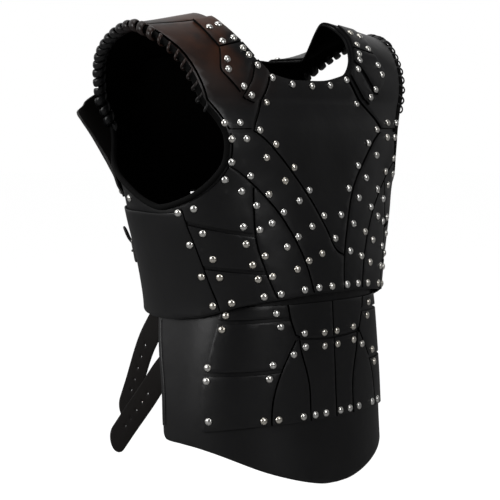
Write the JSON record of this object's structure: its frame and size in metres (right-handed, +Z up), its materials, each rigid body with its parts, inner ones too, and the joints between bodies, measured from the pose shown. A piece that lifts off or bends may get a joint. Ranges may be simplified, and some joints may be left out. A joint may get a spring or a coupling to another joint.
{
  "type": "leather cuirass",
  "caption": "Sleeveless body armour of black leather in an upper and a lower section, with raised riveted plates, laced armholes and straps at the back.",
  "frame": {"origin": "middle of the body, on the ridge line and at the height where the armour rests on the shoulders", "axes": "+Z up along the body, -Y towards the front, -X towards the wearer's right"},
  "size_m": [0.4432, 0.2985, 0.5807],
  "materials": {
    "black_leather": "smooth, half gloss",
    "lacing": "smooth round thong",
    "nickel": "polished nickel plate"
  },
  "bodies": {
    "root": {"upper_base": "black_leather", "chest_plate": "black_leather", "chest_strip_inner_left": "black_leather", "chest_strip_inner_right": "black_leather", "shoulder_plate_left": "black_leather", "shoulder_plate_right": "black_leather", "chest_strip_outer_left": "black_leather", "chest_strip_outer_right": "black_leather", "side_rib_top_left": "black_leather", "side_rib_top_right": "black_leather", "side_rib_middle_left": "black_leather", "side_rib_middle_right": "black_leather", "side_rib_bottom_left": "black_leather", "side_rib_bottom_right": "black_leather", "side_wing_left": "black_leather", "side_wing_right": "black_leather", "neck_strip_top_left": "black_leather", "neck_strip_top_right": "black_leather", "neck_strip_front_left": "black_leather", "neck_strip_front_right": "black_leather", "neck_band_left": "black_leather", "neck_band_right": "black_leather", "yoke_plate_left": "black_leather", "yoke_plate_right": "black_leather", "back_plate": "black_leather", "lower_base": "black_leather", "abdomen_top_left": "black_leather", "abdomen_top_right": "black_leather", "abdomen_inner_left": "black_leather", "abdomen_inner_right": "black_leather", "abdomen_outer_left": "black_leather", "abdomen_outer_right": "black_leather", "flank_top_left": "black_leather", "flank_top_right": "black_leather", "flank_middle_left": "black_leather", "flank_middle_right": "black_leather", "flank_bottom_left": "black_leather", "flank_bottom_right": "black_leather", "arm_lacing_left": "lacing", "arm_lacing_right": "lacing", "loose_strap_upper": "black_leather", "loose_strap_lower": "black_leather", "back_strap": "black_leather", "back_buckle": "nickel", "back_strap_end": "black_leather", "side_buckle_upper": "nickel", "side_buckle_lower": "nickel"}
  },
  "joints": []
}
